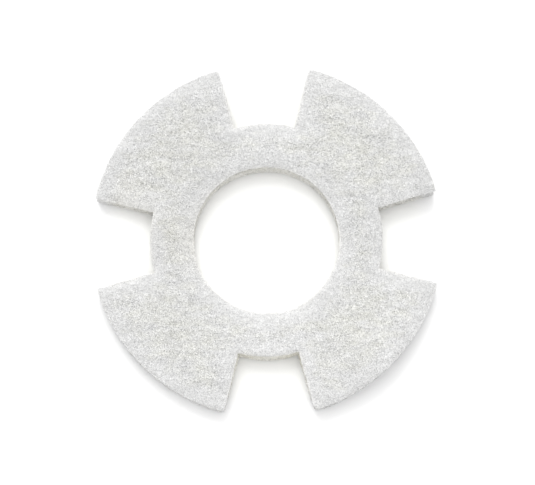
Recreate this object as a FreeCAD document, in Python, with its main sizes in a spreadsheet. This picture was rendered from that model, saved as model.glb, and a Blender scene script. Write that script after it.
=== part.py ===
import FreeCAD, Part
import math
import os

import Sketcher

# A polishing pad die-cut in one piece from a lofty web of bonded fibre: a flat ring with a
# large bore, and four wide lobes round it with a radial-sided notch between each pair.
#
# Frame: origin at the centre of the bore on the underside, +Z up out of the working face.
# The notches are centred on the X and Y axes, and the lobes lie between them.
# Lengths are in millimetres and angles in degrees.

DIMENSIONS = {
    "outer_diameter": 203.0,  # across opposite lobes
    "ring_diameter": 134.0,  # the notches' curved floors lie on this circle
    "bore_diameter": 84.0,
    "thickness": 10.0,
    "lobe_count": 4,
    "notch_angle": 30.0,  # between the two radial sides of a notch
    "corner_round": 2.0,  # in plan, where a lobe's rim meets its sides
    "root_round": 1.0,  # in plan, where a notch's sides meet its floor
    "rim_round": 1.5,  # where the die has pressed the cut edges over, on both faces
}
ORIGIN_POINT = (-1, 1)  # Sketcher's index and point number of the sketch's own origin
START = 1
END = 2
CENTRE = 3
NEAR = 1e-4


def fill_sheet(doc):
    """The spreadsheet that drives every size."""
    sheet = doc.addObject("Spreadsheet::Sheet", "dimensions")
    for row, (alias, value) in enumerate(DIMENSIONS.items(), start=1):
        sheet.set(f"A{row}", alias)
        sheet.set(f"B{row}", str(value))
        sheet.setAlias(f"B{row}", alias)
    doc.recompute()
    return sheet


def origin_feature(body, role):
    """One of a body's own origin planes or axes, by its role."""
    return next(f for f in body.Origin.OriginFeatures if f.Role == role)


def sketch_on_base(body, name):
    """An empty sketch on the body's XY plane, which is the pad's underside."""
    sketch = body.newObject("Sketcher::SketchObject", name)
    sketch.AttachmentSupport = [(origin_feature(body, "XY_Plane"), "")]
    sketch.MapMode = "FlatFace"
    return sketch


def driven(sketch, name, formula, *constraint):
    """Adds a named dimension to a sketch and binds it to the spreadsheet."""
    index = sketch.addConstraint(Sketcher.Constraint(*constraint))
    sketch.renameConstraint(index, name)
    sketch.setExpression(f"Constraints.{name}", formula)


def circle_sketch(body, name, radius, formula):
    """A circle about the origin."""
    sketch = sketch_on_base(body, name)
    middle = FreeCAD.Vector(0, 0, 0)
    axis = FreeCAD.Vector(0, 0, 1)
    circle = sketch.addGeometry(Part.Circle(middle, axis, radius), False)
    sketch.addConstraint(Sketcher.Constraint("Coincident", circle, CENTRE, *ORIGIN_POINT))
    driven(sketch, "radius", formula, "Radius", circle, radius)
    return sketch


def notch_sketch(body, sizes):
    """The outline of one notch: two radial sides between a floor arc and an arc past the rim."""
    sketch = sketch_on_base(body, "notch_outline")
    half = math.radians(sizes["notch_angle"] / 2)
    floor_radius = sizes["ring_diameter"] / 2
    past_radius = sizes["outer_diameter"] / 2 + sizes["thickness"]
    middle = FreeCAD.Vector(0, 0, 0)
    axis = FreeCAD.Vector(0, 0, 1)

    def at(radius, angle):
        return FreeCAD.Vector(radius * math.cos(angle), radius * math.sin(angle), 0)

    floor_circle = Part.Circle(middle, axis, floor_radius)
    past_circle = Part.Circle(middle, axis, past_radius)
    floor = sketch.addGeometry(Part.ArcOfCircle(floor_circle, -half, half), False)
    past = sketch.addGeometry(Part.ArcOfCircle(past_circle, -half, half), False)
    upper = sketch.addGeometry(
        Part.LineSegment(at(floor_radius, half), at(past_radius, half)), False
    )
    lower = sketch.addGeometry(
        Part.LineSegment(at(floor_radius, -half), at(past_radius, -half)), False
    )
    for arc in (floor, past):
        sketch.addConstraint(Sketcher.Constraint("Coincident", arc, CENTRE, *ORIGIN_POINT))
    sketch.addConstraint(Sketcher.Constraint("Coincident", floor, END, upper, START))
    sketch.addConstraint(Sketcher.Constraint("Coincident", floor, START, lower, START))
    sketch.addConstraint(Sketcher.Constraint("Coincident", past, END, upper, END))
    sketch.addConstraint(Sketcher.Constraint("Coincident", past, START, lower, END))
    sketch.addConstraint(Sketcher.Constraint("PointOnObject", *ORIGIN_POINT, upper))
    sketch.addConstraint(Sketcher.Constraint("PointOnObject", *ORIGIN_POINT, lower))
    driven(sketch, "floor", "dimensions.ring_diameter / 2", "Radius", floor, floor_radius)
    driven(
        sketch,
        "past_rim",
        "dimensions.outer_diameter / 2 + dimensions.thickness",
        "Radius",
        past,
        past_radius,
    )
    driven(sketch, "half_angle", "dimensions.notch_angle / 2", "Angle", upper, half)
    driven(
        sketch,
        "whole_angle",
        "dimensions.notch_angle",
        "Angle",
        lower,
        START,
        upper,
        START,
        2 * half,
    )
    return sketch


def cut_through(body, name, sketch):
    """A pocket from the underside up through the whole pad."""
    pocket = body.newObject("PartDesign::Pocket", name)
    pocket.Profile = sketch
    pocket.Type = "ThroughAll"
    pocket.Reversed = True
    return pocket


def round_edges(body, name, base, picked, alias):
    """A fillet on the base feature's edges that picked() accepts."""
    edges = [f"Edge{i}" for i, e in enumerate(base.Shape.Edges, start=1) if picked(e)]
    fillet = body.newObject("PartDesign::Fillet", name)
    fillet.Base = (base, edges)
    fillet.setExpression("Radius", f"dimensions.{alias}")
    body.Document.recompute()
    return fillet


def fibre_pad(doc, sizes):
    """The whole pad: a round blank, bored and notched, with its cut edges softened."""
    body = doc.addObject("PartDesign::Body", "fibre_pad")
    body.Label = "fibre_pad"
    body.Placement = FreeCAD.Placement()
    rim_radius = sizes["outer_diameter"] / 2

    blank = body.newObject("PartDesign::Pad", "blank")
    blank.Profile = circle_sketch(
        body, "blank_outline", rim_radius, "dimensions.outer_diameter / 2"
    )
    blank.setExpression("Length", "dimensions.thickness")

    bore_sketch = circle_sketch(
        body, "bore_outline", sizes["bore_diameter"] / 2, "dimensions.bore_diameter / 2"
    )
    bore = cut_through(body, "bore", bore_sketch)
    notch = cut_through(body, "notch", notch_sketch(body, sizes))

    notches = body.newObject("PartDesign::PolarPattern", "notches")
    notches.Originals = [notch]
    notches.Axis = (origin_feature(body, "Z_Axis"), [""])
    notches.Angle = 360
    notches.setExpression("Occurrences", "dimensions.lobe_count")
    body.Tip = notches
    doc.recompute()
    if not notches.Shape.Volume < notch.Shape.Volume < bore.Shape.Volume < blank.Shape.Volume:
        raise RuntimeError("a cut of the pad removed nothing")

    def upright_at(radius):
        """Accepts the upright edges at one distance from the bore's axis."""

        def picked(edge):
            low = edge.Vertexes[0].Point
            high = edge.Vertexes[-1].Point
            run = math.hypot(low.x - high.x, low.y - high.y)
            upright = run < NEAR < abs(low.z - high.z)
            return upright and abs(math.hypot(low.x, low.y) - radius) < NEAR

        return picked

    def on_a_face(edge):
        box = edge.BoundBox
        at_face = box.ZMin < NEAR or box.ZMax > sizes["thickness"] - NEAR
        return at_face and box.ZLength < NEAR

    corners = round_edges(body, "corners", notches, upright_at(rim_radius), "corner_round")
    floor_radius = sizes["ring_diameter"] / 2
    roots = round_edges(body, "roots", corners, upright_at(floor_radius), "root_round")
    rims = round_edges(body, "rims", roots, on_a_face, "rim_round")
    body.Tip = rims
    return body


def check(doc, parts):
    """Stops unless every object recomputed cleanly and every part is one valid solid."""
    for item in doc.Objects:
        if "Invalid" in item.State or "Error" in item.State:
            raise RuntimeError(f"{item.Label} did not recompute: {item.State}")
    for part in parts:
        shape = part.Shape
        if shape.isNull() or not shape.isValid() or len(shape.Solids) != 1:
            raise RuntimeError(f"{part.Label} is not one valid solid")


def main():
    doc = FreeCAD.newDocument("polishing_pad")
    sheet = fill_sheet(doc)
    sizes = {alias: float(getattr(sheet, alias)) for alias in DIMENSIONS}
    parts = [fibre_pad(doc, sizes)]
    doc.recompute()
    check(doc, parts)
    os.makedirs("parts", exist_ok=True)
    for part in parts:
        part.Shape.exportStep(f"parts/{part.Label}.step")
        box = part.Shape.optimalBoundingBox(False)
        size = f"{box.XLength:.2f} x {box.YLength:.2f} x {box.ZLength:.2f} mm"
        print(part.Label, size, f"{part.Shape.Volume / 1000:.2f} cm3")


main()
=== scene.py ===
import math

import bpy
import numpy as np
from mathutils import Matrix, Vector
from mathutils.bvhtree import BVHTree
from mathutils.kdtree import KDTree


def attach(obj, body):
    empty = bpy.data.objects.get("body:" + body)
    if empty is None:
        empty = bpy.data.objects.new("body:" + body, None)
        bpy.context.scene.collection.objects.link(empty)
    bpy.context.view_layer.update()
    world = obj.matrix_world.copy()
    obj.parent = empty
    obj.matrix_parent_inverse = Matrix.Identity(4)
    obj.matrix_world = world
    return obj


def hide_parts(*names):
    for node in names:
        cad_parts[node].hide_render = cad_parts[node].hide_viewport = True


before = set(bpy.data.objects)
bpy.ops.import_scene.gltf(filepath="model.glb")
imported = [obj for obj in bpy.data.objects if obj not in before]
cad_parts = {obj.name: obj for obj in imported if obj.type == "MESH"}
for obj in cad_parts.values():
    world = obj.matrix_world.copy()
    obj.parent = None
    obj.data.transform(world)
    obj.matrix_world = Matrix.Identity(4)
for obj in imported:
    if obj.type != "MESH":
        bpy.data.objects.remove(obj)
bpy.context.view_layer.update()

# A polishing pad die-cut from a lofty web of bonded white fibre, lying flat on a pale floor.
# The body is a soft slab, swollen by a short cloth simulation. Its skin is a tangle of real
# fibre tubes that walk over the slab, dip into it and cross each other.
# Lengths are in metres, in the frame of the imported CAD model.

scene = bpy.context.scene
NODE = "fibre_pad"
MM = 0.001


def cad_points():
    """The CAD node's vertices as an array."""
    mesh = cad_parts[NODE].data
    points = np.zeros(len(mesh.vertices) * 3)
    mesh.vertices.foreach_get("co", points)
    return points.reshape(-1, 3)


POINTS = cad_points()
REACH = np.hypot(POINTS[:, 0], POINTS[:, 1])
TURN = np.degrees(np.arctan2(POINTS[:, 1], POINTS[:, 0]))
NOTCH_MIDDLE = 8.0  # degrees each side of +X where there is only notch
OUTER = REACH.max()
BORE = REACH.min()
RING = REACH[np.abs(TURN) < NOTCH_MIDDLE].max()
BOTTOM = POINTS[:, 2].min()
TOP = POINTS[:, 2].max()
LOBES = 4
NOTCH_HALF = 15.0  # degrees
CORNER = 1.0 * MM  # the rounding of a lobe's outer corners in plan
BLUNT_CORNER = 2.6 * MM  # and of the two beside the notch at BLUNT_TURN degrees
BLUNT_TURN = 270.0


# ---------------------------------------------------------------------------
# The slab
# ---------------------------------------------------------------------------

INSET = 0.4 * MM  # the slab's top lies this far inside the CAD's, and fibres fill the rest
INSET_BELOW = 0.15 * MM
COLUMN = 1.0  # degrees between the grid's radial lines
ROW_STEP = 2.3 * MM
EDGE_ROWS = (0, 0.35 * MM, 1.1 * MM, 2.2 * MM, 3.8 * MM)  # grid rows crowd to the outline
ROLL_WIDTH = 3.5 * MM  # how far in from a cut edge the top starts to roll over
ROLL_DROP = 0.3 * MM
ROLL_POWER = 2.4
TUCK_WIDTH = 2.2 * MM  # the same for the underside, which tucks up
TUCK_RISE = 0.15 * MM
TUCK_POWER = 2.0
# The rows of a cut wall: share of the way down, and how far in from the outline.
WALL_ROWS = (
    (0.0, 0.0 * MM),
    (0.04, 0.03 * MM),
    (0.15, 0.2 * MM),
    (0.4, 0.4 * MM),
    (0.7, 0.3 * MM),
    (0.92, 0.1 * MM),
    (1.0, 0.0 * MM),
)
# Where the die cut the wall hollow: centre and spread in mm, and how many times deeper.
HOLLOWS = (
    (84, 21, 16, 5.5),
    (68, -70, 26, 3.5),
)
# Where the cut wall slants out to its foot: centre and spread in mm, and how far in mm.
SPLAYS = (
    (0, -67, 13, 1.3),
    (0, 42, 20, 0.6),
)
SPLAY_POWER = 1.5
OUTLINE_SHARES = (0, 0.25, 0.5, 0.75)  # where each border edge is sampled
TINY = 1e-9


def spaced(low, high, step, fine):
    """Radii from low to high that crowd towards both ends."""
    near = np.array(fine)
    inner = low + near
    outer = high - near[::-1]
    count = max(1, int(round((outer[0] - inner[-1]) / step)))
    middle = np.linspace(inner[-1], outer[0], count + 1)[1:-1]
    return np.concatenate([inner, middle, outer])


def nearest_outline(flat, outline):
    """Each point's distance in plan to the nearest of the outline's points, and which it is."""
    tree = KDTree(len(outline))
    for index, (x, y) in enumerate(outline):
        tree.insert((x, y, 0), index)
    tree.balance()
    found = [tree.find((x, y, 0)) for x, y in flat]
    return np.array([f[2] for f in found]), np.array([f[1] for f in found])


def rounded_corner(radius, angle, side_low, side_high):
    """A point of the polar grid, moved so that a lobe's square outer corner becomes round."""
    near_low = angle - side_low < side_high - angle
    side = side_low if near_low else side_high
    blunt = abs(side - BLUNT_TURN) <= NOTCH_HALF
    corner = BLUNT_CORNER if blunt else CORNER
    from_rim = OUTER - radius
    from_side = radius * math.radians(abs(angle - side))
    if from_rim >= corner or from_side >= corner:
        return radius, angle
    u, v = corner - from_rim, corner - from_side
    length = math.hypot(u, v)
    if length < TINY:
        return radius, angle
    keep = max(u, v) / length
    radius_now = OUTER - corner + u * keep
    turn = math.degrees((corner - v * keep) / radius_now)
    return radius_now, side + turn if near_low else side - turn


def polar_grid():
    """The pad's plan as points and quads: ring rows all round, lobe rows between notches."""
    ring_rows = spaced(BORE, RING, ROW_STEP, EDGE_ROWS)
    lobe_rows = spaced(RING, OUTER, ROW_STEP, EDGE_ROWS)[1:]
    columns = int(round(360 / COLUMN))
    quarter = columns // LOBES
    notch = int(round(2 * NOTCH_HALF / COLUMN))
    start = -NOTCH_HALF
    points, names = [], {}

    def add(key, radius, angle):
        names[key] = len(points)
        turn = math.radians(angle)
        points.append((radius * math.cos(turn), radius * math.sin(turn)))

    for row, radius in enumerate(ring_rows):
        for column in range(columns):
            add((row, column), radius, start + column * COLUMN)
    last = len(ring_rows) - 1
    for lobe in range(LOBES):
        low = start + (lobe * quarter + notch) * COLUMN
        high = start + (lobe + 1) * quarter * COLUMN
        for step, radius in enumerate(lobe_rows, start=1):
            for column in range(notch, quarter + 1):
                angle = start + (lobe * quarter + column) * COLUMN
                place = rounded_corner(radius, angle, low, high)
                add((last + step, (lobe * quarter + column) % columns, lobe), *place)

    def name(row, column, lobe):
        """The number of a grid point, from the ring's rows or from the lobe's."""
        if row <= last:
            return names[(row, column % columns)]
        return names[(row, column % columns, lobe)]

    def cell(row, column, lobe=0):
        corners = ((row, column), (row + 1, column), (row + 1, column + 1), (row, column + 1))
        return tuple(name(*corner, lobe) for corner in corners)

    quads = [cell(row, column) for row in range(last) for column in range(columns)]
    for lobe in range(LOBES):
        for row in range(last, last + len(lobe_rows)):
            for step in range(notch, quarter):
                quads.append(cell(row, lobe * quarter + step, lobe))
    return np.array(points), quads


def border_edges(quads):
    """The directed edges that only one quad uses."""
    seen = {}
    for quad in quads:
        for a, b in zip(quad, quad[1:] + quad[:1]):
            seen[(a, b)] = True
    return [(a, b) for a, b in seen if (b, a) not in seen]


def inward_steps(flat, border):
    """A unit step into the pad from each border point."""
    total = {}
    for a, b in border:
        along = flat[b] - flat[a]
        step = np.array([-along[1], along[0]]) / np.linalg.norm(along)
        for end in (a, b):
            total[end] = total.get(end, 0) + step
    return {end: step / np.linalg.norm(step) for end, step in total.items()}


WAVE_SPREAD = (0.75, 1.4)  # shares of the wavelength that the waves are drawn from
WAVE_CREST = 1.6  # what the evened sum seldom passes


def smooth_noise(flat, wavelength, seed, waves=24):
    """A sum of plane waves of about one wavelength, scaled to about -1 to 1."""
    draw = np.random.default_rng(seed)
    total = np.zeros(len(flat))
    for _ in range(waves):
        turn = draw.uniform(0, 2 * math.pi)
        number = 2 * math.pi / (wavelength * draw.uniform(*WAVE_SPREAD))
        along = flat[:, 0] * math.cos(turn) + flat[:, 1] * math.sin(turn)
        total += np.sin(along * number + draw.uniform(0, 2 * math.pi))
    return total / math.sqrt(waves / 2) / WAVE_CREST


def bumps(points, places):
    """The sum of round bumps over the plan. Each is a centre and spread in mm, and a height."""
    total = np.zeros(len(points))
    for x, y, spread, height in places:
        gap = np.hypot(points[:, 0] - x * MM, points[:, 1] - y * MM) / (spread * MM)
        total += height * np.exp(-gap * gap / 2)
    return total


def slab_mesh():
    """The closed slab: a top sheet that rolls over at the cut edges, walls and an underside."""
    flat, quads = polar_grid()
    border = border_edges(quads)
    outline, facing = [], []
    for a, b in border:
        along = (flat[b] - flat[a]) / np.linalg.norm(flat[b] - flat[a])
        for share in OUTLINE_SHARES:
            outline.append(flat[a] * (1 - share) + flat[b] * share)
            facing.append((along[1], -along[0]))
    away, _ = nearest_outline(flat, outline)
    away[[a for a, _ in border]] = 0
    roll = np.clip(1 - away / ROLL_WIDTH, 0, 1) ** ROLL_POWER
    tuck = np.clip(1 - away / TUCK_WIDTH, 0, 1) ** TUCK_POWER
    high = TOP - INSET - ROLL_DROP * roll
    low = BOTTOM + INSET_BELOW + TUCK_RISE * tuck
    count = len(flat)
    points = np.zeros((2 * count, 3))
    points[:count, :2] = flat
    points[:count, 2] = high
    points[count:, :2] = flat
    points[count:, 2] = low
    faces = [tuple(quad) for quad in quads]
    faces += [tuple(v + count for v in reversed(quad)) for quad in quads]
    inward = inward_steps(flat, border)
    deeper = bumps(flat, HOLLOWS) + 1
    splay = bumps(flat, SPLAYS) * MM
    rows = len(WALL_ROWS) - 1
    levels = [dict() for _ in WALL_ROWS]
    extra = []
    for a, _ in border:
        points[a + count, :2] -= inward[a] * splay[a]
        levels[0][a] = a
        levels[rows][a] = a + count
        for row in range(1, rows):
            share, inset = WALL_ROWS[row]
            levels[row][a] = 2 * count + len(extra)
            step = inset * deeper[a] - splay[a] * share**SPLAY_POWER
            place = flat[a] + inward[a] * step
            extra.append((*place, high[a] + (low[a] - high[a]) * share))
    for a, b in border:
        for row in range(rows):
            upper, lower = levels[row], levels[row + 1]
            faces.append((upper[b], upper[a], lower[a], lower[b]))
    return np.concatenate([points, np.array(extra)]), faces, outline, np.array(facing)


def make_mesh(name, points, faces):
    """A smooth-shaded mesh object in the scene."""
    mesh = bpy.data.meshes.new(name)
    mesh.from_pydata(points.tolist(), [], faces)
    mesh.update()
    mesh.shade_smooth()
    made = bpy.data.objects.new(name, mesh)
    scene.collection.objects.link(made)
    return made


def read_points(mesh):
    """A mesh's vertices as an array."""
    points = np.zeros(len(mesh.vertices) * 3)
    mesh.vertices.foreach_get("co", points)
    return points.reshape(-1, 3)


def write_points(mesh, points):
    """Moves a mesh's vertices to the points."""
    mesh.vertices.foreach_set("co", points.astype(np.float32).ravel())
    mesh.update()


def neighbour_mean(points, edges):
    """The mean of each vertex's neighbours."""
    total = np.zeros_like(points)
    count = np.zeros(len(points))
    for a, b in ((0, 1), (1, 0)):
        np.add.at(total, edges[:, a], points[edges[:, b]])
        np.add.at(count, edges[:, a], 1)
    return total / count[:, None]


def edge_pairs(mesh):
    """The two vertices of each of a mesh's edges."""
    pairs = np.zeros(len(mesh.edges) * 2, dtype=np.int64)
    mesh.edges.foreach_get("vertices", pairs)
    return pairs.reshape(-1, 2)


SWELL_QUALITY = 4
SWELL_PRESSURE = 4
SWELL_FRAMES = 20
SWELL_CAP = 0.9 * MM
SWELL_SIDEWAYS = 0.25  # bonded web hardly draws in along its own plane
SWELL_SMOOTHINGS = 3


def swell(pad):
    """Lets the slab swell under pressure as cloth, and keeps the capped, smoothed result."""
    start = read_points(pad.data)
    cloth = pad.modifiers.new("swell", "CLOTH")
    setup = cloth.settings
    setup.quality = SWELL_QUALITY
    setup.use_pressure = True
    setup.uniform_pressure_force = SWELL_PRESSURE
    setup.effector_weights.gravity = 0
    cloth.point_cache.frame_start = 1
    cloth.point_cache.frame_end = SWELL_FRAMES
    for step in range(1, SWELL_FRAMES + 1):
        scene.frame_set(step)
    graph = bpy.context.evaluated_depsgraph_get()
    moved = read_points(pad.evaluated_get(graph).data) - start
    pad.modifiers.remove(cloth)
    scene.frame_set(1)
    moved[:, :2] *= SWELL_SIDEWAYS
    length = np.linalg.norm(moved, axis=1, keepdims=True)
    moved *= np.minimum(1, SWELL_CAP / np.maximum(length, TINY))
    edges = edge_pairs(pad.data)
    for _ in range(SWELL_SMOOTHINGS):
        moved = 0.5 * moved + 0.5 * neighbour_mean(moved, edges)
    write_points(pad.data, start + moved)


def subdivide(pad):
    """Applies one Catmull-Clark subdivision."""
    pad.modifiers.new("smooth", "SUBSURF").levels = 1
    graph = bpy.context.evaluated_depsgraph_get()
    finer = bpy.data.meshes.new_from_object(pad.evaluated_get(graph))
    pad.modifiers.clear()
    old = pad.data
    pad.data = finer
    bpy.data.meshes.remove(old)
    finer.name = pad.name


# Where the limp sheet stands off the floor: centre and spread in mm, and height in mm.
LIFTS = (
    (0, -64, 18, 1.0),
    (88, 24, 18, 1.2),
    (66, -72, 20, 3.2),
)
# Where the web is thinner: centre and spread in mm, and how much lower its top is, in mm.
THINNER = (
    (-84, 26, 15, 1.8),
    (-42, 0, 14, 1.8),
)
WAVES = ((30, 5, 0.2), (11, 6, 0.1))  # slow waves of the top: length in mm, seed, height in mm
LEVEL_SHARE = 80  # the percentile of height that counts as the slab's flat top


def fit_height(pad):
    """Brings the slab's flat top and underside back to their places, and adds slow waves."""
    points = read_points(pad.data)
    middle = (TOP + BOTTOM) / 2
    rise = TOP - INSET - middle
    drop = middle - BOTTOM - INSET_BELOW
    offset = points[:, 2] - middle
    top_level = np.percentile(offset[offset > 0], LEVEL_SHARE)
    low_level = np.percentile(offset[offset < 0], 100 - LEVEL_SHARE)
    above = np.clip(offset / top_level, 0, None)
    below = np.clip(offset / low_level, 0, None)
    wave = sum(smooth_noise(points, length * MM, seed) * high for length, seed, high in WAVES)
    rise = rise - bumps(points, THINNER) * MM
    points[:, 2] = middle + rise * above - drop * below + np.clip(above, 0, 1) * wave * MM
    points[:, 2] += bumps(points, LIFTS) * MM
    write_points(pad.data, points)


RAGGED = 0.16 * MM  # how far the cut walls stand in or out from a clean cut
RAGGED_LENGTH = 2.6 * MM  # along the wall
RAGGED_HEIGHT = 1.3 * MM  # and up it
RAGGED_LENGTHS = (0.8, 2.5)  # shares of the length that the waves are drawn from
RAGGED_HEIGHTS = (0.9, 3.0)
RAGGED_WAVES = 32
RAGGED_SEED = 7
RAGGED_CREST = 4  # the waves' sum that counts as the full depth
STEEP = 0.5  # a wall is where the surface's normal rises less than this


def rough_walls(pad):
    """Makes the cut walls uneven, in shallow level ridges."""
    points = read_points(pad.data)
    normals = np.zeros(len(points) * 3)
    pad.data.vertices.foreach_get("normal", normals)
    normals = normals.reshape(-1, 3)
    draw = np.random.default_rng(RAGGED_SEED)
    total = np.zeros(len(points))
    for _ in range(RAGGED_WAVES):
        turn = draw.uniform(0, 2 * math.pi)
        number = 2 * math.pi / (RAGGED_LENGTH * draw.uniform(*RAGGED_LENGTHS))
        along = points[:, 0] * math.cos(turn) + points[:, 1] * math.sin(turn)
        height = points[:, 2] * 2 * math.pi / (RAGGED_HEIGHT * draw.uniform(*RAGGED_HEIGHTS))
        total += np.sin(along * number + height + draw.uniform(0, 2 * math.pi))
    depth = np.clip(total / RAGGED_CREST, -1, 1) * RAGGED * (np.abs(normals[:, 2]) < STEEP)
    write_points(pad.data, points + normals * depth[:, None])


slab_points, slab_faces, OUTLINE, FACING = slab_mesh()
slab = make_mesh("pad_body", slab_points, slab_faces)
swell(slab)
subdivide(slab)
fit_height(slab)
rough_walls(slab)


# Slow paler and darker patches in the colour: centre and spread in mm, and share.
CLOUDS = (
    (0, -54, 15, 0.065),
    (0, 55, 15, 0.04),
    (-60, 0, 14, -0.045),
    (-38, 38, 24, -0.02),
    (62, 0, 12, -0.035),
    (33, 33, 10, -0.03),
    (87, 33, 13, -0.035),
)
WALL_LIGHT = 0.45  # share of painted warm light on every cut wall but the outer rim
RIM_BAND = 6 * MM  # walls take painted warm light from this far in from the outer rim, fully at twice as far
WALL_LIGHT_DEPTH = 2.5 * MM  # the painted warm light grows over this much of the wall's height
WALL_LIGHT_START = 0.3  # and starts at this share of it below the top
# Where the cut walls get more painted warm light still: centre and spread in mm, and share.
WALL_LIGHT_SPOTS = (
    (-17, -65, 7, 0.6),
    (17, -65, 7, 0.6),
    (0, -67, 12, 0.2),
)
RIM_REACH = 2.6 * MM  # the look of a cut edge falls away over about this distance
CALM_REACH = 12 * MM  # the painted pore shade fades within this distance of a cut edge
CALM_FADE = 9 * MM  # and is fully gone this much nearer to it
CALM_SHARE = 0.4  # how far it fades on the edges that don't face the light
LIGHT_TURN = math.radians(108)  # the key light comes from this way in plan; cut edges facing it get a painted highlight
LIT_EDGE_FROM = 0.5  # the share of facing the light from which an edge fades the painted pore shade near it


def set_layer(mesh, name, values):
    """Stores one number per vertex for the materials."""
    layer = mesh.attributes.new(name, "FLOAT", "POINT")
    layer.data.foreach_set("value", np.asarray(values, dtype=np.float32))


def calmness(away, share):
    """How far the pores close up at a distance from an edge that calms by a share."""
    return np.clip((CALM_REACH - away) / CALM_FADE, 0, 1) * share


def set_layers(mesh, points, repeat=1):
    """Stores what the materials need to know about each vertex."""
    # how squarely each outline point faces the light in plan
    turned = FACING @ (math.cos(LIGHT_TURN), math.sin(LIGHT_TURN))
    away, nearest = nearest_outline(points[:, :2], OUTLINE)
    facing = turned[nearest]
    rim = np.exp(-away / RIM_REACH)
    # how far the painted pore shade fades: near every cut edge, and most near those facing the
    # light
    calm = calmness(away, CALM_SHARE + (1 - CALM_SHARE) * np.clip(facing, 0, 1))
    lit_side = turned > LIT_EDGE_FROM
    away, nearest = nearest_outline(points[:, :2], np.array(OUTLINE)[lit_side])
    calm = np.maximum(calm, calmness(away, turned[lit_side][nearest]))
    from_rim = OUTER - np.hypot(points[:, 0], points[:, 1])
    inner = np.clip(from_rim / RIM_BAND - 1, 0, 1)
    # painted warm light on the cut walls, growing further down them
    below = TOP + bumps(points, LIFTS) * MM - points[:, 2]
    deep = np.clip(below / WALL_LIGHT_DEPTH - WALL_LIGHT_START, 0, 1)
    wall_light = (bumps(points, WALL_LIGHT_SPOTS) + WALL_LIGHT * inner) * deep
    for name, values in (
        ("cloud", 1 + bumps(points, CLOUDS)),
        ("rim", rim),
        # painted highlight on cut edges that face the light
        ("lit_rim", rim * facing),
        ("calm", calm),
        # painted warm light on the cut walls
        ("warm", np.minimum(wall_light, 1)),
    ):
        set_layer(mesh, name, np.repeat(values, repeat))


set_layers(slab.data, read_points(slab.data))


# ---------------------------------------------------------------------------
# The fibres
# ---------------------------------------------------------------------------


class Skin:
    """The slab's surface, split into the faces that fibres may start on."""

    def __init__(self, pad):
        mesh = pad.data
        self.points = read_points(mesh)
        corners = np.zeros(len(mesh.polygons) * 4, dtype=np.int64)
        mesh.polygons.foreach_get("vertices", corners)
        self.quads = corners.reshape(-1, 4)
        self.tree = BVHTree.FromPolygons(self.points.tolist(), self.quads.tolist())
        a, b, c, d = (self.points[self.quads[:, i]] for i in range(4))
        cross = np.cross(c - a, d - b)
        length = np.linalg.norm(cross, axis=1)
        self.areas = length / 2
        self.normals = cross / length[:, None]

    def seeds(self, draw, wanted, count):
        """Random points spread evenly over the faces that wanted marks."""
        picked = np.nonzero(wanted)[0]
        areas = self.areas[picked]
        share = (np.arange(count) + draw.random(count)) / count
        chosen = picked[np.searchsorted(np.cumsum(areas) / areas.sum(), share)]
        u, v = draw.random(count)[:, None], draw.random(count)[:, None]
        a, b, c, d = (self.points[self.quads[chosen, i]] for i in range(4))
        return (a * (1 - u) + b * u) * (1 - v) + (d * (1 - u) + c * u) * v


GRAIN_TURN = math.radians(8)  # the web was laid down along this direction in plan
GRAIN_PULL = np.array([3.0, 1.0, 1.0])  # fibres of the faces run more along X
LEVEL_PULL = np.array([1.6, 1.6, 0.5])  # fibres of the cut walls run more level
CURL_DRIFT = 0.5  # share of a fibre's bend that each step adds at random
CURL_FADE = 0.92  # and how much of its curl a fibre keeps from step to step
STEEP_RUN = 0.85  # a tube that rises more than this takes X instead of Z as its upward side


def walk(skin, draw, start, steps, stride, bend, pull):
    """One fibre's path over the skin: its points and the skin's normals there."""
    spot, normal, _, _ = skin.tree.find_nearest(Vector(start))
    heading = Vector(draw.normal(size=3) * pull)
    heading -= normal * heading.dot(normal)
    heading.normalize()
    curl = draw.normal() * bend
    path, normals = [], []
    for _ in range(steps):
        path.append(tuple(spot))
        normals.append(tuple(normal))
        curl += draw.normal() * bend * CURL_DRIFT
        curl *= CURL_FADE
        side = normal.cross(heading)
        heading = heading * math.cos(curl) + side * math.sin(curl)
        ahead = spot + heading * stride
        spot, normal, _, _ = skin.tree.find_nearest(ahead)
        heading -= normal * heading.dot(normal)
        heading.normalize()
    return path, normals


def unit(vectors):
    """The vectors, each scaled to length 1."""
    return vectors / np.maximum(np.linalg.norm(vectors, axis=-1, keepdims=True), TINY)


def tubes(paths, radii, sides):
    """Closed tubes along the paths, as points and quads with end caps."""
    fibres, steps, _ = paths.shape
    ahead = unit(np.gradient(paths, axis=1))
    steep = np.abs(ahead[:, :, 2:3]) > STEEP_RUN
    rough_up = np.where(steep, np.array([1.0, 0.0, 0.0]), np.array([0.0, 0.0, 1.0]))
    side = unit(np.cross(rough_up, ahead))
    up = np.cross(ahead, side)
    turns = np.arange(sides) * 2 * math.pi / sides
    ring = (
        side[:, :, None, :] * np.cos(turns)[None, None, :, None]
        + up[:, :, None, :] * np.sin(turns)[None, None, :, None]
    )
    points = paths[:, :, None, :] + ring * radii[:, :, None, None]
    base = (np.arange(fibres) * steps * sides)[:, None, None]
    row = (np.arange(steps - 1) * sides)[None, :, None]
    here = np.arange(sides)[None, None, :]
    there = (here + 1) % sides
    quads = np.stack(
        [
            base + row + here,
            base + row + there,
            base + row + sides + there,
            base + row + sides + here,
        ],
        axis=-1,
    ).reshape(-1, 4)
    first = base[:, 0, :] + np.arange(sides)[::-1][None, :]
    last = base[:, 0, :] + (steps - 1) * sides + np.arange(sides)[None, :]
    caps = np.concatenate([first, last])
    return points.reshape(-1, 3), quads, caps


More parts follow.
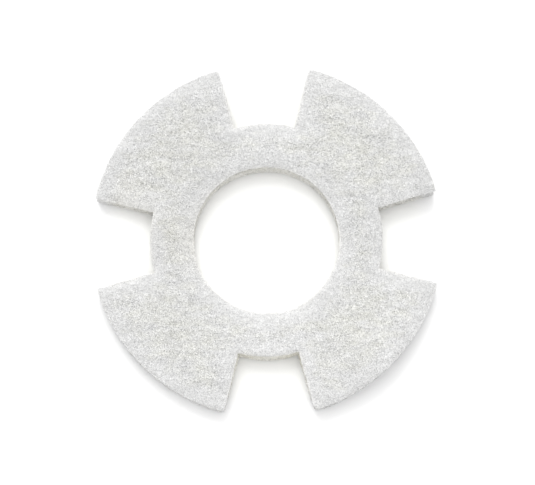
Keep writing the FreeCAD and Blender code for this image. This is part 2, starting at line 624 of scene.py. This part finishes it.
def tube_mesh(name, points, quads, caps):
    """A smooth-shaded mesh of the tubes' quads and end caps."""
    mesh = bpy.data.meshes.new(name)
    mesh.vertices.add(len(points))
    mesh.vertices.foreach_set("co", points.astype(np.float32).ravel())
    loops = np.concatenate([quads.ravel(), caps.ravel()])
    sizes = np.concatenate([np.full(len(quads), 4), np.full(len(caps), caps.shape[1])])
    mesh.loops.add(len(loops))
    mesh.loops.foreach_set("vertex_index", loops.astype(np.int32))
    mesh.polygons.add(len(sizes))
    starts_at = np.concatenate([[0], np.cumsum(sizes)[:-1]])
    mesh.polygons.foreach_set("loop_start", starts_at.astype(np.int32))
    mesh.update(calc_edges=True)
    mesh.validate()
    mesh.shade_smooth()
    return mesh


WEAVE = 0.1 * MM  # how far a fibre rises and dips along its way
WEAVE_BEAT = (1.2, 2.4)  # in radians for each step
LOOSE_FROM = 0.6  # share of its length from which a loose fibre stands off
LOOSE_POWER = 1.6
LOOSE_RISE = (0.2, 0.5)  # in mm
END_TAPER = 0.55
SMOOTHING = 0.2  # share that each neighbour has in a smoothed path


def fibre_piece(
    name, skin, wanted, seed, count, steps, sides, stride, thick, lift, bend, fuzz, pull
):
    """One piece of tangle on the faces that wanted marks."""
    draw = np.random.default_rng(seed)
    starts = skin.seeds(draw, wanted, count)
    strides = draw.uniform(*stride, count)
    walks = [walk(skin, draw, s, steps, k, bend, pull) for s, k in zip(starts, strides)]
    paths = np.array([w[0] for w in walks])
    normals = np.array([w[1] for w in walks])
    along = np.arange(steps)[None, :]
    level = draw.uniform(*lift, (count, 1))
    beat = draw.uniform(*WEAVE_BEAT, (count, 1))
    phase = draw.uniform(0, 2 * math.pi, (count, 1))
    height = level + WEAVE * np.sin(along * beat + phase)
    loose = draw.random((count, 1)) < fuzz
    free = (along - steps * LOOSE_FROM) / (steps * (1 - LOOSE_FROM))
    free = np.clip(free, 0, 1) ** LOOSE_POWER
    height += loose * free * draw.uniform(*LOOSE_RISE, (count, 1)) * MM
    radius = draw.uniform(*thick, (count, 1)) * np.ones((1, steps))
    radius[:, [0, -1]] *= END_TAPER
    paths = paths + normals * height[:, :, None]
    beside = (paths[:, :-2] + paths[:, 2:]) * SMOOTHING
    paths[:, 1:-1] = paths[:, 1:-1] * (1 - 2 * SMOOTHING) + beside
    paths[:, :, 2] = np.maximum(paths[:, :, 2], BOTTOM + radius)
    mesh = tube_mesh(name, *tubes(paths, radius, sides))
    set_layer(mesh, "tone", np.repeat(draw.random(count), steps * sides))
    set_layers(mesh, paths[:, steps // 2], steps * sides)
    made = bpy.data.objects.new(name, mesh)
    scene.collection.objects.link(made)
    return made


TOP_FROM = 0.45  # faces whose normal rises more than this belong to the top
BENEATH_FROM = -0.6
QUARTERS = 4

skin = Skin(slab)
CENTRES = skin.points[skin.quads].mean(axis=1)
UP = skin.normals[:, 2]
ON_TOP = UP > TOP_FROM
BENEATH = UP < BENEATH_FROM
ON_WALL = ~ON_TOP & ~BENEATH
FACE_TURN = np.degrees(np.arctan2(CENTRES[:, 1], CENTRES[:, 0]))
QUARTER = np.floor(FACE_TURN / (360 / QUARTERS)) % QUARTERS

fibres = []
for quarter in range(QUARTERS):
    fibres.append(
        fibre_piece(
            f"top_fibres_{quarter + 1}",
            skin,
            ON_TOP & (QUARTER == quarter),
            seed=100 + quarter,
            count=6000,
            steps=6,
            sides=3,
            stride=(0.7 * MM, 1.1 * MM),
            thick=(0.11 * MM, 0.16 * MM),
            lift=(-0.1 * MM, 0.1 * MM),
            bend=0.3,
            fuzz=0.02,
            pull=GRAIN_PULL,
        )
    )
fibres.append(
    fibre_piece(
        "edge_fibres",
        skin,
        ON_WALL,
        seed=201,
        count=6000,
        steps=6,
        sides=3,
        stride=(0.5 * MM, 0.9 * MM),
        thick=(0.12 * MM, 0.2 * MM),
        lift=(-0.2 * MM, 0.15 * MM),
        bend=0.4,
        fuzz=0.06,
        pull=LEVEL_PULL,
    )
)
fibres.append(
    fibre_piece(
        "back_fibres",
        skin,
        BENEATH,
        seed=301,
        count=3600,
        steps=7,
        sides=4,
        stride=(1.0 * MM, 1.6 * MM),
        thick=(0.16 * MM, 0.26 * MM),
        lift=(-0.15 * MM, 0.25 * MM),
        bend=0.28,
        fuzz=0.0,
        pull=GRAIN_PULL,
    )
)


# ---------------------------------------------------------------------------
# Materials
# ---------------------------------------------------------------------------


class Nodes:
    """Short calls for building a node tree."""

    def __init__(self, material):
        material.use_nodes = True
        self.tree = material.node_tree
        self.tree.nodes.clear()

    def add(self, kind, inputs=None, **settings):
        """A node with its settings, and its inputs linked or set by name or number."""
        made = self.tree.nodes.new(kind)
        for key, value in settings.items():
            setattr(made, key, value)
        for key, value in (inputs or {}).items():
            socket = made.inputs[key]
            if isinstance(value, bpy.types.NodeSocket):
                self.tree.links.new(value, socket)
            else:
                socket.default_value = value
        return made

    def noise(self, where, scale, detail=3.0, rough=0.55):
        """Soft noise from about 0 to 1."""
        made = self.add(
            "ShaderNodeTexNoise",
            {"Vector": where, "Scale": scale, "Detail": detail, "Roughness": rough},
        )
        return made.outputs["Fac"]

    def span(self, value, low, high, to_low=0.0, to_high=1.0):
        """Maps low..high to to_low..to_high, and holds the ends."""
        made = self.add(
            "ShaderNodeMapRange",
            {
                "Value": value,
                "From Min": low,
                "From Max": high,
                "To Min": to_low,
                "To Max": to_high,
            },
        )
        return made.outputs["Result"]

    def math(self, how, a, b):
        return self.add("ShaderNodeMath", {0: a, 1: b}, operation=how).outputs[0]

    def mix(self, share, a, b, how="MIX"):
        """Colour a with a share of colour b blended in."""
        inputs = {0: share, 6: a, 7: b}  # the colour sockets of the Mix node
        made = self.add("ShaderNodeMix", inputs, data_type="RGBA", blend_type=how)
        return made.outputs[2]


def colour(red, green, blue, bright=1.0):
    """An opaque colour, at a share of its brightness."""
    return (red * bright, green * bright, blue * bright, 1.0)


def layer(nodes, name):
    """A number that set_layer stored on the mesh."""
    return nodes.add("ShaderNodeAttribute", attribute_name=name).outputs["Fac"]


def scaled(nodes, base, shade):
    """A colour times a number."""
    grey = nodes.add("ShaderNodeCombineColor", {"Red": shade, "Green": shade, "Blue": shade})
    return nodes.mix(1.0, base, grey.outputs["Color"], "MULTIPLY")


# The noise patterns: scale for a metre, detail and roughness.
PATCHES = (190, 3.0, 0.6)
STREAKS = (230, 2.0, 0.55)
# PORES lays painted shade of the gaps between fibres onto the strands
PORES = (3100, 1.0, 0.6)
GRAIN = (4200, 3.0, 0.6)
MATTE = (900, 2.0)
CORE_STRANDS = (1500, 4.0, 0.65)
CORE_PORES = 1600.0
# How far each pattern is drawn out along the web's direction.
PATCH_STRETCH = 2.0
STREAK_STRETCH = 4.5
PORE_STRETCH = 1.8

COOL = (0.811, 0.811, 0.808)
STRAW = (0.819, 0.817, 0.771)
# painted warm light on the cut walls: paler and warmer
WARM_LIGHT = (1.08, 1.055, 0.965)
UNEVEN = (0.935, 1.045)  # the brightness of the slow streaks
EDGE_HIGHLIGHT = 1.10  # painted highlight: the brightness of cut edges that face the light
EDGE_POWER = 0.3  # draws the rim layer out to about a centimetre
LAYERING = 2.2  # how many times finer the web's pattern is through its thickness


def along_grain(nodes, where, stretch):
    """Coordinates that draw a pattern out along the web's direction and flatten it in height."""
    return nodes.add(
        "ShaderNodeMapping",
        {
            "Vector": where,
            "Rotation": (0, 0, -GRAIN_TURN),
            "Scale": (1 / stretch, 1, LAYERING),
        },
        vector_type="POINT",
    ).outputs["Vector"]


def mottled(nodes, where, bright):
    """White stock: straw patches away from the edges, streaks and clouds, a painted highlight on
    cut edges facing the light, and painted warm light on the cut walls.
    """
    patches = nodes.noise(along_grain(nodes, where, PATCH_STRETCH), *PATCHES)
    patches = nodes.span(patches, 0.24, 0.80)
    near_edge = nodes.math("POWER", layer(nodes, "rim"), EDGE_POWER)
    patches = nodes.span(nodes.math("SUBTRACT", patches, near_edge), 0.0, 0.7)
    stock = nodes.mix(patches, colour(*COOL, bright), colour(*STRAW, bright))
    streaks = nodes.noise(along_grain(nodes, where, STREAK_STRETCH), *STREAKS)
    uneven = nodes.span(streaks, 0.3, 0.72, *UNEVEN)
    slow = nodes.math("MULTIPLY", uneven, layer(nodes, "cloud"))
    # painted highlight: cut edges facing the light are paler
    edge = nodes.span(layer(nodes, "lit_rim"), -1.0, 1.0, 1.0, EDGE_HIGHLIGHT)
    clean = scaled(nodes, stock, nodes.math("MULTIPLY", slow, edge))
    # painted warm light on the cut walls
    return nodes.mix(layer(nodes, "warm"), clean, colour(*WARM_LIGHT), "MULTIPLY")


def finish(nodes, base, rough, normal, sheen):
    """Ends a material in a matte surface."""
    shader = nodes.add(
        "ShaderNodeBsdfPrincipled",
        {
            "Base Color": base,
            "Roughness": rough,
            "Specular IOR Level": 0.25,
            "Sheen Weight": sheen,
            "Sheen Roughness": 0.6,
            "Normal": normal,
        },
    )
    out = nodes.add("ShaderNodeOutputMaterial")
    nodes.tree.links.new(shader.outputs["BSDF"], out.inputs["Surface"])


STRAND_TONES = (0.98, 1.02)  # the brightness of single fibres
PORE_SHADE = (0.13, 0.82)  # painted pore shade: the brightness in the pores, far from the edges and where calm
PORE_PALE = (1.28, 0.90)  # and between them
PORE_POWER = 0.7
PALEST = (0.97, 0.97, 0.97)
SPECK = (0.34, 0.33, 0.30)
SPECK_SHARE = 0.0006  # of all fibres
# painted light on the cut walls: their strands are paler and a little warmer
CUT_LIGHT = (1.05, 1.045, 1.02)
# Painted shade: the core under the fibres is darker than the strands, most of all in its pores.
CORE_BRIGHT = 0.95
CORE_PALE = 0.85  # the brightness between the core's pores
CORE_PORE_SHADE = (0.50, 0.80)  # painted pore shade: the brightness in the core's pores, away from an edge and at it


def fibre_material(name, tint):
    """Matte strands with painted pore shade: each fibre has its own tone, and a few are dark."""
    material = bpy.data.materials.new(name)
    nodes = Nodes(material)
    where = nodes.add("ShaderNodeTexCoord").outputs["Object"]
    stock = nodes.mix(1.0, mottled(nodes, where, 1.0), tint, "MULTIPLY")
    tone = layer(nodes, "tone")
    toned = scaled(nodes, stock, nodes.span(tone, 0.0, 1.0, *STRAND_TONES))
    # painted pore shade on the strands
    spots = nodes.noise(along_grain(nodes, where, PORE_STRETCH), *PORES)
    spots = nodes.math("POWER", nodes.span(spots, 0.36, 0.64), PORE_POWER)
    calm = layer(nodes, "calm")
    darkest_shade = nodes.span(calm, 0.0, 1.0, *PORE_SHADE)
    palest = nodes.span(calm, 0.0, 1.0, *PORE_PALE)
    toned = scaled(nodes, toned, nodes.span(spots, 0.0, 1.0, darkest_shade, palest))
    toned = nodes.mix(1.0, toned, colour(*PALEST), "DARKEN")
    speck = nodes.math("LESS_THAN", tone, SPECK_SHARE)
    base = nodes.mix(speck, toned, colour(*SPECK))
    rough = nodes.span(nodes.noise(where, *MATTE), 0.3, 0.7, 0.78, 0.97)
    grain = nodes.noise(where, *GRAIN)
    relief = {"Strength": 0.25, "Distance": 0.05 * MM, "Height": grain}
    bump = nodes.add("ShaderNodeBump", relief)
    finish(nodes, base, rough, bump.outputs["Normal"], 0.15)
    return material


def body_material():
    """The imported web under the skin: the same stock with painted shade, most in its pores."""
    material = bpy.data.materials.new("fibre_core")
    nodes = Nodes(material)
    where = nodes.add("ShaderNodeTexCoord").outputs["Object"]
    stock = mottled(nodes, where, CORE_BRIGHT)
    pores = nodes.add(
        "ShaderNodeTexVoronoi",
        {"Vector": where, "Scale": CORE_PORES, "Randomness": 1.0},
        feature="F1",
    ).outputs["Distance"]
    strands = nodes.noise(where, *CORE_STRANDS)
    open_web = nodes.math("MULTIPLY", pores, nodes.span(strands, 0.3, 0.7, 0.6, 1.4))
    # painted pore shade in the core, lighter at the cut edges
    deepest_shade = nodes.span(layer(nodes, "rim"), 0.7, 1.0, *CORE_PORE_SHADE)
    dark = nodes.span(open_web, 0.25, 0.85, CORE_PALE, deepest_shade)
    base = scaled(nodes, stock, dark)
    relief = {"Strength": 0.6, "Distance": 0.3 * MM, "Height": dark}
    bump = nodes.add("ShaderNodeBump", relief)
    rough = nodes.span(strands, 0.3, 0.7, 0.85, 1.0)
    finish(nodes, base, rough, bump.outputs["Normal"], 0.1)
    return material


strands = fibre_material("fibre_strands", colour(1.0, 1.0, 1.0))
# a paler, warmer copy of the strands for the cut walls: painted light
lit_cut_strands = fibre_material("lit_cut_strands", colour(*CUT_LIGHT))
slab.data.materials.append(body_material())
for tangle in fibres:
    at_cut = tangle.name == "edge_fibres"
    tangle.data.materials.append(lit_cut_strands if at_cut else strands)
for piece in [slab, *fibres]:
    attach(piece, "root")
    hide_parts(NODE)


# ---------------------------------------------------------------------------
# Floor, light and camera
# ---------------------------------------------------------------------------


FLOOR_HALF = 3.0  # metres
FLOOR_TINT = (0.83, 0.84)  # the brightness of its darker and paler places
FLOOR_BOUNCE = (1.0, 1.0, 0.984)  # painted warm bounce light within the pad's outer circle
BOUNCE_EDGE = (0.85, 0.95)  # shares of the pad's radius between which the painted bounce light fades


def floor():
    """A wide pale floor at the pad's underside, with painted warm bounce light under the pad."""
    material = bpy.data.materials.new("pale_floor")
    nodes = Nodes(material)
    where = nodes.add("ShaderNodeTexCoord").outputs["Object"]
    tint = nodes.span(nodes.noise(where, 3, 2.0), 0.3, 0.7, *FLOOR_TINT)
    base = nodes.add("ShaderNodeCombineColor", {"Red": tint, "Green": tint, "Blue": tint})
    away = nodes.add("ShaderNodeVectorMath", {0: where}, operation="LENGTH").outputs["Value"]
    # painted warm bounce light, fading out past the pad's outer circle
    near, far = BOUNCE_EDGE
    cast = nodes.span(away, near * OUTER, far * OUTER, 1.0, 0.0)
    warm = nodes.mix(cast, base.outputs["Color"], colour(*FLOOR_BOUNCE), "MULTIPLY")
    finish(nodes, warm, 0.9, (0, 0, 0), 0.0)
    sides = ((-1, -1), (1, -1), (1, 1), (-1, 1))
    corners = np.array([(x * FLOOR_HALF, y * FLOOR_HALF, BOTTOM) for x, y in sides])
    made = make_mesh("floor", corners, [(0, 1, 2, 3)])
    made.data.materials.append(material)


AMBIENT = 1.03
FILL_POWER = 0.3  # watts
FILL_SIZE = 0.4  # metres
FILL_PLACE = (0.22, -0.34, 0.36)
# Wide soft suns: name, share of the floor's light, and azimuth, height and spread in degrees.
KEYS = (
    ("high_key", 0.14, 101.0, 60.0, 44.0),
    ("low_key", 0.27, 101.0, 38.0, 40.0),
)


def surroundings():
    """An even studio: the camera sees plain white, and things are lit at AMBIENT's strength."""
    world = bpy.data.worlds.new("studio")
    scene.world = world
    world.use_nodes = True
    tree = world.node_tree
    tree.nodes.clear()
    path = tree.nodes.new("ShaderNodeLightPath")
    seen = tree.nodes.new("ShaderNodeBackground")
    seen.inputs["Color"].default_value = (1, 1, 1, 1)
    lighting = tree.nodes.new("ShaderNodeBackground")
    lighting.inputs["Color"].default_value = (1, 1, 1, 1)
    lighting.inputs["Strength"].default_value = AMBIENT
    mix = tree.nodes.new("ShaderNodeMixShader")
    out = tree.nodes.new("ShaderNodeOutputWorld")
    tree.links.new(path.outputs["Is Camera Ray"], mix.inputs["Fac"])
    tree.links.new(lighting.outputs[0], mix.inputs[1])
    tree.links.new(seen.outputs[0], mix.inputs[2])
    tree.links.new(mix.outputs[0], out.inputs["Surface"])


def key_light(name, share, turn, rise, spread):
    """A wide soft sun towards the top of the picture and a little to its left."""
    turn, rise = math.radians(turn), math.radians(rise)
    level = math.cos(rise)
    aim = Vector((math.cos(turn) * level, math.sin(turn) * level, math.sin(rise)))
    data = bpy.data.lights.new(name, "SUN")
    data.angle = math.radians(spread)
    data.energy = share * math.pi / aim.z
    lamp = bpy.data.objects.new(name, data)
    lamp.location = aim
    lamp.rotation_mode = "QUATERNION"
    lamp.rotation_quaternion = (-aim).to_track_quat("-Z", "Y")
    scene.collection.objects.link(lamp)


PICTURE_WIDTH = 3.0192  # what the picture takes in level with the pad's top, in pad radii
PAD_RIGHT = -0.00206  # the pad's middle from the picture's, in shares of the picture's width
PAD_UP = 0.00561
LENS_RIGHT = 0.0316  # the lens from the pad's middle, in pad radii, as the picture shows it
LENS_BELOW = 2.0344
STAND = 0.74  # metres from the pad's top up to the lens
SENSOR = 36.0  # mm
ROLL = math.radians(-1.0)


def camera():
    """Looks straight down from below the pad's middle, with the lens shifted to frame it."""
    width = PICTURE_WIDTH * OUTER
    across = LENS_RIGHT * OUTER
    down = LENS_BELOW * OUTER
    data = bpy.data.cameras.new("camera")
    data.sensor_width = SENSOR
    data.lens = SENSOR * STAND / width
    data.shift_x = -PAD_RIGHT - across / width
    made = bpy.data.objects.new("camera", data)
    right = Vector((math.cos(ROLL), math.sin(ROLL), 0))
    upward = Vector((-math.sin(ROLL), math.cos(ROLL), 0))
    made.location = right * across - upward * down + Vector((0, 0, TOP + STAND))
    made.rotation_euler = (0, 0, ROLL)
    scene.collection.objects.link(made)
    scene.camera = made
    drive_shift(data, made, (down / width - PAD_UP) / made.location.y)


def drive_shift(data, holder, share):
    """Shifts the lens by share of the camera's offset along Y, while it looks straight down."""
    driver = data.driver_add("shift_y").driver
    driver.type = "SCRIPTED"
    for label, channel in (("lean", "ROT_X"), ("off", "LOC_Y")):
        variable = driver.variables.new()
        variable.name = label
        variable.type = "TRANSFORMS"
        target = variable.targets[0]
        target.id = holder
        target.transform_type = channel
        target.transform_space = "WORLD_SPACE"
    driver.expression = f"(abs(lean) < 0.01) * off * {share:.6f}"


def fill_light():
    """A faint nearby lamp towards the picture's lower right, which falls off across the pad."""
    data = bpy.data.lights.new("fill", "AREA")
    data.shape = "DISK"
    data.size = FILL_SIZE
    data.energy = FILL_POWER
    lamp = bpy.data.objects.new("fill", data)
    lamp.location = Vector(FILL_PLACE)
    lamp.rotation_mode = "QUATERNION"
    lamp.rotation_quaternion = (-lamp.location).to_track_quat("-Z", "Y")
    scene.collection.objects.link(lamp)


floor()
surroundings()
for key in KEYS:
    key_light(*key)
fill_light()
camera()
scene.view_settings.view_transform = "Standard"
scene.view_settings.look = "None"
